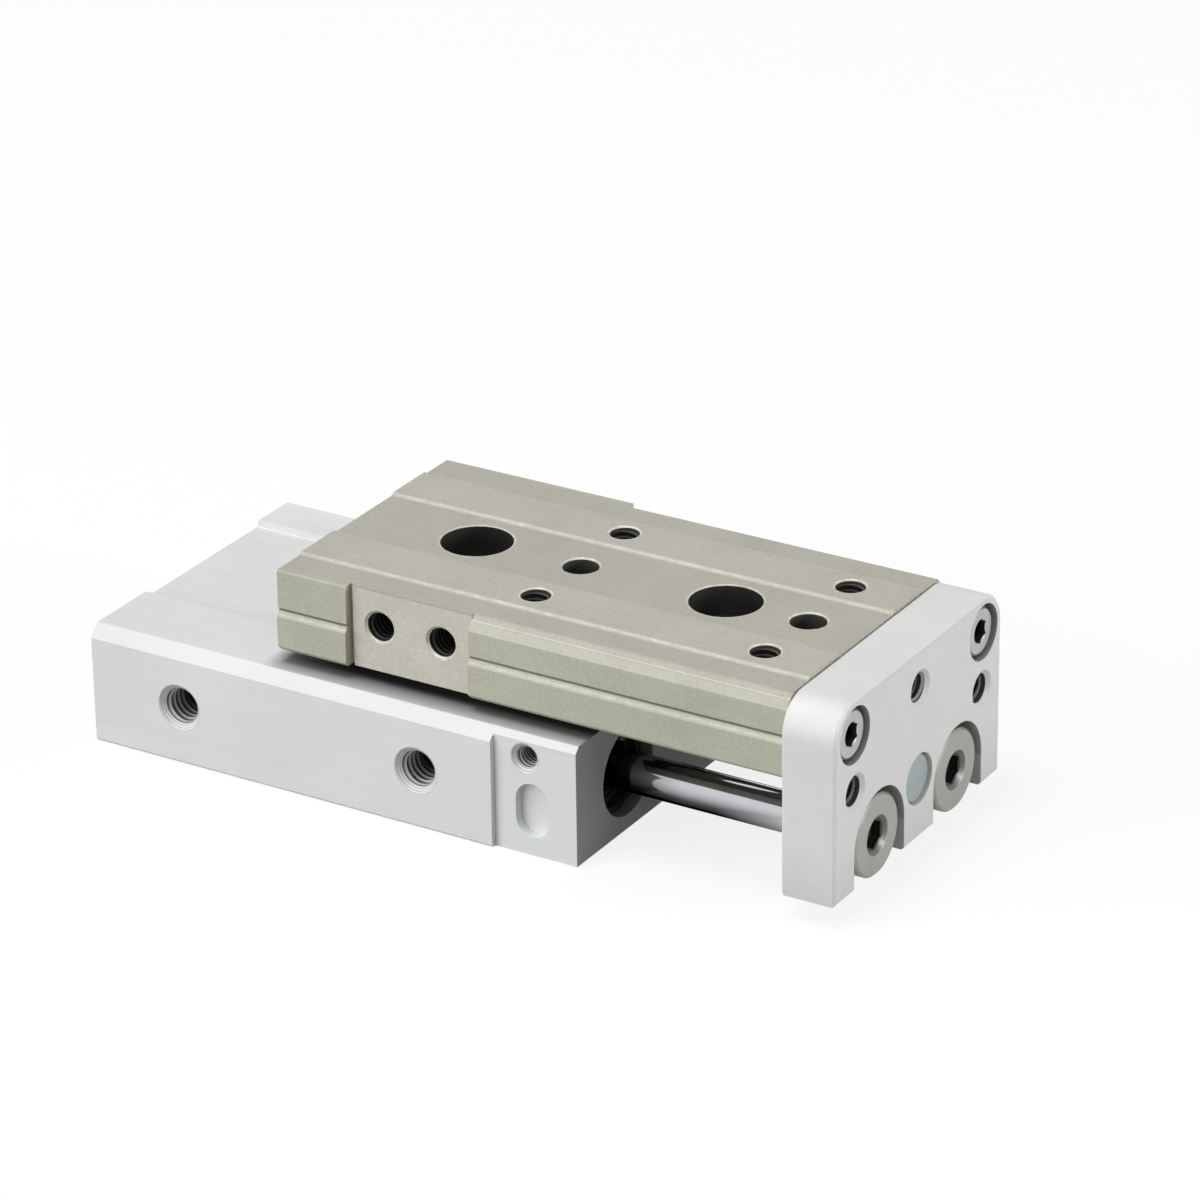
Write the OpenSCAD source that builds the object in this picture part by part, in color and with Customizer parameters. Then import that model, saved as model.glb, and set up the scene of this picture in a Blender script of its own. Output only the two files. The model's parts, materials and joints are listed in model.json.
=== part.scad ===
// Twin-rod pneumatic slide table on a recirculating-ball guide.
// Millimetres. X is the sliding direction, with the end plate at +X, Y is the
// width, with the air ports on the -Y side, and +Z is up. The origin is the
// centre of the body's bottom face. The table stands at the end of its outstroke.

/* [Body] */
// Length of the cylinder body along X
body_l = 62; // [60:0.5:66]
// Width of the cylinder body
body_w = 40; // [40:0.5:44]
// Height of the cylinder body
body_h = 14; // [14:0.25:15]
// Chamfer on the body's long top edges
body_chamfer = 1.4; // [0.6:0.1:1.8]
// Depth of the guide channel in the body's top face
channel_d = 0.7; // [0.4:0.1:0.9]
// Near edge of the guide channel, measured towards the ports
channel_near = 9.5; // [9.4:0.1:10]
// Far edge of the guide channel
channel_far = 12.4; // [11:0.1:13]

/* [Cylinders] */
// Piston bore
bore_d = 8; // [7.6:0.1:8.2]
// Mouth of each cylinder, which holds the rod cover
mouth_d = 10.3; // [10.2:0.1:10.6]
// Piston rod diameter
rod_d = 4.5; // [4:0.1:4.6]
// Distance of each cylinder's axis from the middle
rod_y = 8.7; // [8.6:0.05:8.9]
// Height of the cylinder axes above the base
rod_z = 6.85; // [6.7:0.05:6.9]
// Stroke of the table
stroke = 20; // [10:1:20]
// X position of the rear air port
port_rear_x = -19.5; // [-20:0.1:-19]
// X position of the front air port
port_front_x = 11.3; // [11:0.1:11.4]
// Tapping diameter of the air ports
port_d = 4.2; // [4:0.05:4.4]

/* [Table] */
// Rear end of the table at full outstroke
table_x0 = -7.8; // [-8.5:0.1:-7.5]
// Table length
table_l = 62.9; // [62:0.1:64]
// Width across the table's lower side faces
table_w = 34.8; // [34:0.1:35.2]
// Height of the table's load pads above the base
table_top = 25.25; // [25:0.05:25.4]
// Height of the table's lower edge above the base
table_bottom = 15.5; // [15.2:0.1:15.9]
// Step from the pads down to the middle band and the side ledges
pad_step = 0.3; // [0.2:0.05:0.45]
// Half width of the middle band
band_half = 5.7; // [5:0.1:6]
// Outer edge of each load pad, from the middle
pad_edge = 12.5; // [12:0.1:13]
// Depth of the milled pocket in the table's near side
pocket_d = 1.05; // [0.8:0.05:1.2]
// Diameter of the screw access holes
access_d = 8; // [7:0.1:8.4]

/* [End plate] */
// End plate thickness
plate_t = 6.4; // [6.3:0.1:7]
// End plate width
plate_w = 36.6; // [36:0.1:37.4]
// Height of the plate's lower edge above the base
plate_z0 = 2.7; // [2.2:0.1:2.8]
// Radius of the plate's top corners
plate_r = 4; // [3:0.25:4.5]
// Chamfer round the plate's front and rear faces
plate_chamfer = 0.3; // [0.2:0.05:0.4]
// Width of the rod-end slots
slot_w = 10.9; // [10.4:0.1:11]

/* [Ball guide] */
// Ball diameter
ball_d = 2.38; // [2.2:0.02:2.38]
// Length of the steel guide block
block_l = 28.6; // [28.6:0.2:29]
// Rear end of the steel guide block
block_x0 = -2.4; // [-2.6:0.1:-2.4]
// Thickness of each return guide
return_t = 3.6; // [3.5:0.1:3.8]
// Distance of the loaded ball rows from the middle
row_y = 10.05; // [10:0.05:10.1]
// Distance of the return channels from the middle
return_y = 6; // [5.9:0.05:6]
// Height of the ball rows above the base
row_z = 18.4; // [18.3:0.05:18.5]

/* [Hidden] */
$fn = 64;
eps = 0.01;
fit = 0.05;
sides = [-1, 1];

body_x = body_l / 2;
body_y = body_w / 2;
channel_z = body_h - channel_d;

bore_r = bore_d / 2;
mouth_r = mouth_d / 2;
rod_r = rod_d / 2;
bore_end_x = port_rear_x - 1.9;
cover_x0 = 12.7;
cover_x1 = body_x - 2.6;
cover_r = mouth_r - fit;
ring_x0 = cover_x1 + 0.2;
ring_t = 0.8;
seal_x0 = cover_x1 - 2.7;
seal_pocket_r = 3.75;
o_ring_d = 0.8;
o_ring_x = 18;
port_depth = 5;
air_way_r = 1;

m2_r = 0.8;
m3_r = 1.5;
m3_tap_r = 1.25;
m4_tap_r = 1.65;
m3_head_r = 2.75;
m3_head_h = 3;

table_x1 = table_x0 + table_l;
table_y = table_w / 2;
upper_y = table_y - 0.3;
table_step_z = table_top - pad_step;
table_roof = 21.4;
skirt_y = 10.6;
seam_z = 20.35;
top_chamfer = [1.2, 1.6];
edge_break = 0.15;
relief = 0.45;
pocket_x0 = 1;
pocket_x1 = 16.5;
side_thread_x = [4.8, 12.6];
side_thread_z = 20.7;
access_x = [6.9, 38.1];
pad_thread_x = [20.1, 48.1];
pad_thread_y = 9.2;
pin_r = 2;
track_r = ball_d / 2 + fit;

plate_x0 = table_x1;
plate_x1 = plate_x0 + plate_t;
plate_y = plate_w / 2;
plate_z1 = table_step_z;
slot_d = 2.6;
bolt_head_r = 4.65;
bolt_head_t = 2.35;
bolt_shank_r = 1.2;
bush_r = 3.1;
plate_screw_y = 14.2;
plate_screw_z = 20.9;
counterbore_r = 3.2;
counterbore_d = 3.4;
plate_thread_y = 14;
plate_thread_z = 14.3;
plate_top_thread_z = 20.3;
stud_z = 9.7;
stud_r = 2.75;

piston_x0 = 1.3;
piston_x1 = 9.8;
piston_r = bore_r - fit;

block_x1 = block_x0 + block_l;
block_y = 9.55;
block_foot_y = channel_near - 0.3;
block_top = 21;
block_screw_x = [access_x[0], access_x[1] - stroke];
cap_screw_y = 3.6;
cap_screw_z = 15.6;
cap_screw_depth = 4;

turn_r = (row_y - return_y) / 2;
turn_y = (row_y + return_y) / 2;
loop_l = 2 * block_l + 2 * PI * turn_r;
ball_count = floor(loop_l / (ball_d * 1.07));

recess_x0 = 20.8;
recess_d = 0.7;
stop_thread = [24.7, 11.3];
slot_x = 25.5;
slot_z = [4.2, 6.4];
slot_r = 2.05;
slot_depth = 1.1;
base_thread_x = 26;
base_thread_y = 16;
base_thread_depth = 5.5;
sensor_z = 8.4;

// ---- shared shapes ----

// Cylinder along X from x0 to x1
module x_rod(r, x0, x1, r2 = undef) {
    translate([x0, 0, 0])
        rotate([0, 90, 0])
            cylinder(r1 = r, r2 = is_undef(r2) ? r : r2, h = x1 - x0);
}

// Ring along X from x0 to x1
module x_ring(r_out, r_in, x0, x1) {
    difference() {
        x_rod(r_out, x0, x1);
        x_rod(r_in, x0 - eps, x1 + eps);
    }
}

// Cylinder along Y from y0 to y1
module y_rod(r, y0, y1) {
    translate([0, y0, 0]) rotate([-90, 0, 0]) cylinder(r = r, h = y1 - y0);
}

// A profile drawn in Y and Z, run along X from x0 to x1
module along_x(x0, x1) {
    translate([x0, 0, 0])
        rotate([90, 0, 90])
            linear_extrude(x1 - x0) children();
}

// Children placed on the axis of the near (-1) or far (1) cylinder
module on_rod(side) {
    translate([0, side * rod_y, rod_z]) children();
}

// Blind tapped hole drilled down -Z from the origin, with a countersunk mouth
module tapped_hole(r, depth, sink) {
    translate([0, 0, -depth]) cylinder(r = r, h = depth + eps);
    translate([0, 0, -sink]) cylinder(r1 = r, r2 = r + sink + eps, h = sink + eps);
}

// Hexagon socket cut, mouth at the origin, running down -Z
module hex_socket(flats, depth) {
    translate([0, 0, -depth]) cylinder(d = flats / cos(30), h = depth + eps, $fn = 6);
    translate([0, 0, -0.35]) cylinder(r1 = flats / 2 - 0.2, r2 = flats / 2 + 0.16, h = 0.36);
}

// Socket head cap screw: head top at the origin, shank down -Z
module cap_screw(r, head_r, head_h, flats, length) {
    rim = 0.25;
    difference() {
        union() {
            translate([0, 0, -head_h]) cylinder(r = head_r, h = head_h - rim);
            translate([0, 0, -rim - eps]) cylinder(r1 = head_r, r2 = head_r - rim, h = rim + eps);
            translate([0, 0, -head_h - length + 0.3]) cylinder(r = r, h = length);
            translate([0, 0, -head_h - length]) cylinder(r1 = r - 0.3, r2 = r, h = 0.3);
        }
        hex_socket(flats, head_h / 2);
    }
}

// ---- cylinder body and what is in it ----

// Extruded outline of the body, with the guide channel in its top
module body_profile() {
    c = body_chamfer;
    foot = 0.3;
    polygon([
        [-body_y + foot, 0], [body_y - foot, 0], [body_y, foot], [body_y, body_h - c],
        [body_y - c, body_h], [channel_far + 0.3, body_h], [channel_far, channel_z],
        [-channel_near + 0.05, channel_z], [-channel_near, body_h],
        [-body_y + c, body_h], [-body_y, body_h - c], [-body_y, foot]
    ]);
}

// T-shaped groove for a position switch, along the far side
module sensor_groove() {
    along_x(-body_x - 1, body_x + 1)
        translate([body_y, sensor_z]) {
            translate([-1.2, -1.4]) square([2.2, 2.8]);
            translate([-3.4, -2.2]) square([2.3, 4.4]);
        }
}

// Tapped air port on the near side, its way into both bores at this X
module air_port(x) {
    translate([x, -body_y, rod_z]) {
        rotate([90, 0, 0]) tapped_hole(port_d / 2, port_depth, 0.6);
        y_rod(air_way_r, 0, body_y + rod_y);
    }
}

// Step milled into the near side at the front, with a tapped hole and a slot
module stop_recess() {
    translate([recess_x0, -body_y - 1, -1]) cube([body_x, recess_d + 1, body_h + 2]);
    translate([0, -body_y + recess_d, 0]) {
        translate([stop_thread[0], 0, stop_thread[1]])
            rotate([90, 0, 0]) tapped_hole(m3_tap_r, 5, 0.5);
        for (z = slot_z)
            translate([slot_x, 0, z]) y_rod(slot_r, -eps, slot_depth);
        translate([slot_x - slot_r, -eps, slot_z[0]])
            cube([2 * slot_r, slot_depth + eps, slot_z[1] - slot_z[0]]);
    }
}

module cylinder_body() {
    color("gainsboro")
        difference() {
            along_x(-body_x, body_x) body_profile();
            for (side = sides) on_rod(side) {
                x_rod(bore_r, bore_end_x, body_x + 1);
                x_rod(mouth_r, cover_x0, body_x + 1);
                x_rod(mouth_r + 0.4, ring_x0 - 0.1, ring_x0 + ring_t + 0.1);
            }
            for (x = [port_rear_x, port_front_x]) air_port(x);
            stop_recess();
            sensor_groove();
            for (x = block_screw_x)
                translate([x, 0, channel_z]) tapped_hole(m3_r, 6, 0.2);
            for (sx = sides, sy = sides)
                translate([sx * base_thread_x, sy * base_thread_y, 0])
                    rotate([180, 0, 0]) tapped_hole(m3_tap_r, base_thread_depth, 0.3);
        }
}

// Bushing that closes a cylinder's mouth and guides its rod
module rod_cover(side) {
    color("#1d1d20")
        on_rod(side)
            difference() {
                x_rod(cover_r, cover_x0 + fit, cover_x1);
                x_rod(rod_r + fit, cover_x0, cover_x1 + 1);
                x_rod(seal_pocket_r, seal_x0, cover_x1 + 1);
                x_ring(cover_r + 1, cover_r - o_ring_d, o_ring_x - 0.6, o_ring_x + 0.6);
                x_ring(cover_r + 1, bore_r - 0.4, cover_x0, cover_x0 + 1.2);
            }
}
module rod_cover_near() { rod_cover(-1); }
module rod_cover_far() { rod_cover(1); }

module cover_o_rings() {
    color("#111111")
        for (side = sides) on_rod(side)
            translate([o_ring_x, 0, 0]) rotate([0, 90, 0])
                rotate_extrude()
                    translate([mouth_r - 0.02 - o_ring_d / 2, 0]) circle(d = o_ring_d - 0.04);
}

// Lip seals: a heel in the cover's pocket and a wiping edge against the rod
module rod_seals() {
    wall = seal_pocket_r - fit;
    touch = rod_r + 0.03;
    color("#161616")
        for (side = sides) on_rod(side)
            translate([seal_x0 + fit, 0, 0]) rotate([90, 0, 90])
                rotate_extrude()
                    polygon([
                        [touch + 0.3, 0], [wall, 0], [wall, 2.3], [wall - 0.45, 2.5],
                        [wall - 0.65, 1.3], [touch + 0.6, 1.3], [touch + 0.35, 2.5],
                        [touch, 2.1], [touch + 0.3, 1.1]
                    ]);
}

// Internal circlip with two eyes, open at the top
module retaining_ring(side) {
    eye_r = 0.95;
    eye_at = [3.85, 30];
    color("silver")
        on_rod(side) along_x(ring_x0, ring_x0 + ring_t)
            difference() {
                union() {
                    difference() {
                        circle(r = mouth_r + 0.35);
                        translate([0, -0.25]) circle(r = mouth_r - 0.75);
                        polygon([[0, 0], [-3.2, 8], [3.2, 8]]);
                    }
                    for (s = sides) rotate(90 + s * eye_at[1])
                        translate([eye_at[0], 0]) circle(r = eye_r);
                }
                for (s = sides) rotate(90 + s * eye_at[1])
                    translate([eye_at[0], 0]) circle(r = 0.45);
            }
}
module retaining_ring_near() { retaining_ring(-1); }
module retaining_ring_far() { retaining_ring(1); }

// ---- ball guide ----

// Half turn of a ball circuit, beyond the block's end at this X
module ball_turn(x, side) {
    translate([x, side * turn_y, row_z])
        rotate_extrude() translate([turn_r, 0]) circle(r = track_r);
}

module block_profile() {
    top_c = 0.5;
    polygon([
        [-block_foot_y, channel_z], [block_foot_y, channel_z], [block_foot_y, 14.4],
        [block_y, 14.4], [block_y, block_top - top_c], [block_y - top_c, block_top],
        [-block_y + top_c, block_top], [-block_y, block_top - top_c],
        [-block_y, 14.4], [-block_foot_y, 14.4]
    ]);
}

module guide_block() {
    color("lightsteelblue")
        difference() {
            along_x(block_x0, block_x1) block_profile();
            for (side = sides, y = [return_y, row_y])
                translate([0, side * y, row_z])
                    x_rod(track_r, block_x0 - 1, block_x1 + 1);
            for (x = block_screw_x) translate([x, 0, 0]) {
                translate([0, 0, channel_z - 1]) cylinder(r = m3_r + 0.15, h = 10);
                translate([0, 0, block_top - m3_head_h - 0.3]) cylinder(r = 3, h = 5);
            }
            for (s = sides) translate([0, s * cap_screw_y, cap_screw_z]) {
                x_rod(m2_r + fit, block_x0 - 1, block_x0 + cap_screw_depth);
                x_rod(m2_r + fit, block_x1 - cap_screw_depth, block_x1 + 1);
            }
        }
}

module guide_block_screws() {
    color("#3a3a3c")
        for (x = block_screw_x)
            translate([x, 0, block_top - 0.3])
                cap_screw(m3_r - fit, m3_head_r, m3_head_h, 2.5, 10);
}

// Resin cap on a block end, in which the balls turn back, for dir -1 or 1
module return_guide(dir) {
    x = dir < 0 ? block_x0 : block_x1;
    far_x = x + dir * return_t;
    color("#202124")
        difference() {
            along_x(min(x, far_x), max(x, far_x))
                difference() {
                    polygon([
                        [-block_foot_y, channel_z + fit], [block_foot_y, channel_z + fit],
                        [block_foot_y, 14.4], [block_y + 0.4, 15.2], [block_y + 0.6, 16.4],
                        [block_y + 0.6, 20], [block_y - 0.4, block_top],
                        [-block_y + 0.4, block_top], [-block_y - 0.6, 20],
                        [-block_y - 0.6, 16.4], [-block_y - 0.4, 15.2], [-block_foot_y, 14.4]
                    ]);
                    translate([-2.5, block_top - 0.8]) square([5, 2]);
                }
            for (side = sides) ball_turn(x, side);
            for (s = sides) translate([0, s * cap_screw_y, cap_screw_z]) {
                x_rod(m2_r + fit, min(x, far_x) - 1, max(x, far_x) + 1);
                x_rod(1.6, min(far_x - dir, far_x + dir), max(far_x - dir, far_x + dir));
            }
        }
}
module return_guide_front() { return_guide(1); }
module return_guide_rear() { return_guide(-1); }

module return_guide_screws() {
    depth = return_t - 1 + cap_screw_depth - 0.6;
    color("#77787a")
        for (s = sides, end = [[-1, block_x0 - return_t], [1, block_x1 + return_t]])
            translate([end[1] - end[0] * 0.2, s * cap_screw_y, cap_screw_z])
                rotate([0, end[0] * 90, 0]) cap_screw(m2_r, 1.5, 0.8, 1.1, depth);
}

// Two thin strips that keep one side's loaded balls in their track
module ball_retainer(side) {
    y0 = block_y + fit;
    gap = 1.3;
    color("#2b2c30")
        for (s = sides)
            translate([block_x0, side * (y0 + 0.35), row_z + s * (gap + 0.35)])
                translate([0, -0.35, -0.35]) cube([block_l, 0.7, 0.7]);
}
module ball_retainer_near() { ball_retainer(-1); }
module ball_retainer_far() { ball_retainer(1); }

// Place of a ball's centre at distance s round a circuit, in X and Y
function on_loop(s) =
    let (turn = PI * turn_r)
    s < block_l ? [block_x0 + s, row_y] :
    s < block_l + turn ?
        let (a = 90 - (s - block_l) / turn_r * 180 / PI)
        [block_x1 + turn_r * cos(a), turn_y + turn_r * sin(a)] :
    s < 2 * block_l + turn ? [block_x1 - (s - block_l - turn), return_y] :
        let (a = 270 - (s - 2 * block_l - turn) / turn_r * 180 / PI)
        [block_x0 + turn_r * cos(a), turn_y + turn_r * sin(a)];

module guide_balls() {
    color("white")
        for (side = sides, i = [0 : ball_count - 1])
            let (p = on_loop((i + 0.5) * loop_l / ball_count))
                translate([p[0], side * p[1], row_z]) sphere(d = ball_d, $fn = 32);
}

// ---- table ----

// One half of the table's outline, from the middle band round to the inner roof
function half_table(edge_y, edge_drop) = [
    [band_half - 0.25, table_step_z], [band_half + 0.25, table_top],
    [pad_edge - 0.25, table_top], [pad_edge + 0.25, table_step_z],
    [upper_y - edge_y, table_step_z], [upper_y, table_step_z - edge_drop],
    [upper_y, seam_z + 0.15], [upper_y - 0.35, seam_z], [upper_y - 0.1, seam_z - 0.2],
    [table_y, seam_z - 0.85], [table_y, table_bottom + 0.5],
    [table_y - 0.5, table_bottom], [skirt_y + 0.4, table_bottom],
    [skirt_y, table_bottom + 0.4], [skirt_y, table_roof - 0.5],
    [skirt_y - 0.5, table_roof]
];

module table_profile(edge_y, edge_drop) {
    half = half_table(edge_y, edge_drop);
    n = len(half);
    polygon(concat(half, [for (i = [n - 1 : -1 : 0]) [-half[i][0], half[i][1]]]));
}

module slide_table() {
    color("#b4b1a4")
        difference() {
            union() {
                along_x(table_x0, pocket_x1) table_profile(edge_break, edge_break);
                along_x(pocket_x1, table_x1) table_profile(top_chamfer[0], top_chamfer[1]);
            }
            for (side = sides)
                translate([0, side * row_y, row_z])
                    x_rod(track_r, table_x0 - 1, table_x1 + 1);
            translate([pocket_x0, -table_y - 1, table_bottom - 1])
                cube([pocket_x1 - pocket_x0, pocket_d + 1, table_top]);
            translate([pocket_x0, -table_y - 1, table_bottom - 1])
                cube([relief, pocket_d + relief + 1, table_top]);
            for (x = side_thread_x)
                translate([x, -table_y + pocket_d, side_thread_z])
                    rotate([90, 0, 0]) tapped_hole(m4_tap_r, 4.5, 0.3);
            for (x = access_x)
                translate([x, 0, table_step_z]) tapped_hole(access_d / 2, 5, 0.12);
            for (x = pad_thread_x) {
                translate([x, 0, table_step_z]) tapped_hole(pin_r, 5, 0.2);
                for (s = sides)
                    translate([x, s * pad_thread_y, table_top]) tapped_hole(m4_tap_r, 4, 0.15);
            }
            for (s = sides)
                translate([table_x1, s * plate_screw_y, plate_screw_z])
                    rotate([0, 90, 0]) tapped_hole(m3_r, 7, 0.2);
        }
}

// ---- end plate and what it carries ----

// Plate outline seen from the side or from above, with its edges broken
module plate_edge_profile(lo, hi, break_hi) {
    c = plate_chamfer;
    d = break_hi * c;
    polygon([
        [plate_x0, lo + c], [plate_x0 + c, lo], [plate_x1 - c, lo], [plate_x1, lo + c],
        [plate_x1, hi - d], [plate_x1 - d, hi], [plate_x0 + d, hi], [plate_x0, hi - d]
    ]);
}

module plate_blank() {
    inner_y = plate_y - plate_r;
    rotate([90, 0, 0]) translate([0, 0, -inner_y])
        linear_extrude(2 * inner_y) plate_edge_profile(plate_z0, plate_z1, 1);
    intersection() {
        translate([0, 0, plate_z0])
            linear_extrude(plate_z1 - plate_r - plate_z0)
                plate_edge_profile(-plate_y, plate_y, 1);
        rotate([90, 0, 0]) translate([0, 0, -plate_y])
            linear_extrude(plate_w) plate_edge_profile(plate_z0, plate_z1 + 1, 0);
    }
    for (s = sides) translate([0, s * inner_y, plate_z1 - plate_r]) {
        x_rod(plate_r - plate_chamfer, plate_x0, plate_x0 + plate_chamfer, plate_r);
        x_rod(plate_r, plate_x0 + plate_chamfer, plate_x1 - plate_chamfer);
        x_rod(plate_r, plate_x1 - plate_chamfer, plate_x1, plate_r - plate_chamfer);
    }
}

// Slot for a rod-end bolt, open at the plate's lower edge
module rod_end_slot(side) {
    on_rod(side) {
        x_rod(slot_w / 2, plate_x1 - slot_d, plate_x1 + 1);
        translate([plate_x1 - slot_d, -slot_w / 2, -rod_z])
            cube([slot_d + 1, slot_w, rod_z]);
        x_rod(bush_r + fit, plate_x0 - 1, plate_x1);
    }
}

module end_plate() {
    color("#d3d5d4")
        difference() {
            plate_blank();
            for (side = sides) rod_end_slot(side);
            for (s = sides) translate([0, s * plate_screw_y, plate_screw_z]) {
                x_rod(m3_r + 0.15, plate_x0 - 1, plate_x1 + 1);
                x_rod(counterbore_r, plate_x1 - counterbore_d, plate_x1 + 1);
            }
            for (s = sides) translate([plate_x1, s * plate_thread_y, plate_thread_z])
                rotate([0, 90, 0]) tapped_hole(m4_tap_r, 5, 0.45);
            translate([plate_x1, 0, plate_top_thread_z])
                rotate([0, 90, 0]) tapped_hole(m4_tap_r, 5, 0.45);
            translate([0, 0, stud_z]) {
                x_rod(stud_r + 0.15, plate_x1 - 3.7, plate_x1 + 1);
                x_rod(m3_r + fit, plate_x0 - 1, plate_x1);
            }
        }
}

module end_plate_screws() {
    color("#8d8f8d")
        for (s = sides)
            translate([plate_x1 - counterbore_d + m3_head_h, s * plate_screw_y, plate_screw_z])
                rotate([0, 90, 0]) cap_screw(m3_r - fit, m3_head_r, m3_head_h, 2.5, 9);
}

// Rod with a tapped front end and a reduced rear end that carries the piston
module piston_rod(side) {
    color("#e6e8ea")
        on_rod(side)
            difference() {
                union() {
                    x_rod(rod_r, piston_x1, plate_x0 - 0.3);
                    x_rod(rod_r, plate_x0 - 0.3 - eps, plate_x0, rod_r - 0.3);
                    x_rod(1.3, piston_x0 + 0.3, piston_x1 + eps);
                }
                x_rod(bolt_shank_r + fit, plate_x0 - 8, plate_x0 + 1);
            }
}
module piston_rod_near() { piston_rod(-1); }
module piston_rod_far() { piston_rod(1); }

// Wide flat-headed bolt that holds a rod to the plate
module rod_bolt(side) {
    rim = 0.25;
    face_x = plate_x1 - slot_d + bolt_head_t;
    color("#b9b7b0")
        on_rod(side)
            difference() {
                union() {
                    x_rod(bolt_head_r, face_x - bolt_head_t + fit, face_x - rim);
                    x_rod(bolt_head_r, face_x - rim - eps, face_x, bolt_head_r - rim);
                    x_rod(bolt_shank_r, plate_x0 - 7, face_x - bolt_head_t + 2 * fit);
                }
                translate([face_x, 0, 0]) rotate([0, 90, 0]) {
                    hex_socket(3, 1.5);
                    translate([0, 0, -0.5]) cylinder(r1 = 1.6, r2 = 2.3, h = 0.5 + eps);
                }
            }
}
module rod_bolt_near() { rod_bolt(-1); }
module rod_bolt_far() { rod_bolt(1); }

module float_bush(side) {
    color("#a8aaac")
        on_rod(side)
            x_ring(bush_r, bolt_shank_r + fit, plate_x0 + fit, plate_x1 - slot_d);
}
module float_bush_near() { float_bush(-1); }
module float_bush_far() { float_bush(1); }

module piston(side) {
    color("#c9ccce")
        on_rod(side)
            difference() {
                x_rod(piston_r, piston_x0, piston_x1);
                x_rod(1.3 + 0.02, piston_x0 - 1, piston_x1 + 1);
                x_ring(piston_r + 1, 3, piston_x0 + 1, piston_x0 + 2.8);
                x_ring(piston_r + 1, 2.9, piston_x1 - 4, piston_x1 - 1.4);
            }
}
module piston_near() { piston(-1); }
module piston_far() { piston(1); }

module piston_seals() {
    x0 = piston_x0 + 1.05;
    color("#141414")
        for (side = sides) on_rod(side)
            translate([x0, 0, 0]) rotate([90, 0, 90])
                rotate_extrude()
                    polygon([
                        [3.02, 0.1], [3.9, 0], [piston_r + 0.02, 0.3], [3.7, 0.85],
                        [piston_r + 0.02, 1.4], [3.9, 1.7], [3.02, 1.6]
                    ]);
}

module piston_magnets() {
    color("#4a4a50")
        for (side = sides) on_rod(side)
            x_ring(piston_r - 0.1, 2.95, piston_x1 - 3.95, piston_x1 - 1.45);
}

// Rubber rings in front of the pistons, which take the end of the outstroke
module rod_bumpers() {
    color("#2f3a46")
        for (side = sides) on_rod(side)
            x_ring(3.2, rod_r + 0.02, piston_x1 + 0.02, cover_x0 - 0.15);
}

// Stud through the plate, seen as a plain disc from the front
module bumper_stud() {
    head_x = plate_x1 - 0.35;
    color("#aab2b6")
        translate([0, 0, stud_z]) {
            x_rod(stud_r, plate_x1 - 3.65, head_x - 0.2);
            x_rod(stud_r, head_x - 0.2 - eps, head_x, stud_r - 0.2);
            x_rod(m3_r, plate_x0 - 1.6, plate_x1 - 3.6);
        }
}

// Urethane stop on the back of the plate, which meets the body at the instroke's end
module bumper_pad() {
    pad_x = body_x + stroke + 0.15;
    color("#33475c")
        translate([0, 0, stud_z])
            difference() {
                union() {
                    x_rod(3.2, pad_x + 0.5, plate_x0 - fit);
                    x_rod(2.7, pad_x, pad_x + 0.5 + eps, 3.2);
                }
                x_rod(m3_r + fit, plate_x0 - 1.7, plate_x0 + 1);
            }
}

cylinder_body();
rod_cover_near();
rod_cover_far();
cover_o_rings();
rod_seals();
retaining_ring_near();
retaining_ring_far();
guide_block();
guide_block_screws();
return_guide_front();
return_guide_rear();
return_guide_screws();
ball_retainer_near();
ball_retainer_far();
guide_balls();
slide_table();
end_plate();
end_plate_screws();
piston_rod_near();
piston_rod_far();
rod_bolt_near();
rod_bolt_far();
float_bush_near();
float_bush_far();
piston_near();
piston_far();
piston_seals();
piston_magnets();
rod_bumpers();
bumper_stud();
bumper_pad();
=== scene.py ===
"""Looks of the pneumatic slide table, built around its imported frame.

Metres, in the frame of the CAD model: +X is the way the table runs out, -Y is
the side with the air ports, +Z is up, and the floor is at Z = 0. The CAD solids
keep their meshes and get their finishes here, and each tapped hole gets its
thread as a ridge on its wall.
"""
from collections import namedtuple
import json
import math

import bpy
import numpy as np
from mathutils import Matrix, Vector


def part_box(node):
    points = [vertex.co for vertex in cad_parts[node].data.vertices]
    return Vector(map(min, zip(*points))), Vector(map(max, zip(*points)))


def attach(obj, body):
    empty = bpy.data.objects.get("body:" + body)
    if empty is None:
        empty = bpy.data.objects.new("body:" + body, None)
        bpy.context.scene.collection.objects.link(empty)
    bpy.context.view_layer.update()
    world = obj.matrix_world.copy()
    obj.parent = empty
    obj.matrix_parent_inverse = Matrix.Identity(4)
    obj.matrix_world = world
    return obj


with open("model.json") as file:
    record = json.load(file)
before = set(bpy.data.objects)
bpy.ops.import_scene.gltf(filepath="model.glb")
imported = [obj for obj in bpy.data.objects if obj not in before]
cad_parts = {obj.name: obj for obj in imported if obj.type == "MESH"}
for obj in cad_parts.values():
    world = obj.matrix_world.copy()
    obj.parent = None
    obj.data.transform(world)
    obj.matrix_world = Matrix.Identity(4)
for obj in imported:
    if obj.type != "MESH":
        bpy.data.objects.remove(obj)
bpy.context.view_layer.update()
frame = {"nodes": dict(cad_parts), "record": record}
record = frame["record"]
MM = 0.001

# ---------------------------------------------------------------- places from the frame

mounts = {mount["name"]: mount for mount in record["mounts"]}
body_low, body_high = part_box("cylinder_body")
table_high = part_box("slide_table")[1]
plate_low, plate_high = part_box("end_plate")
rod_low, rod_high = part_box("piston_rod_far")
stud_low, stud_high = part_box("bumper_stud")

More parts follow.
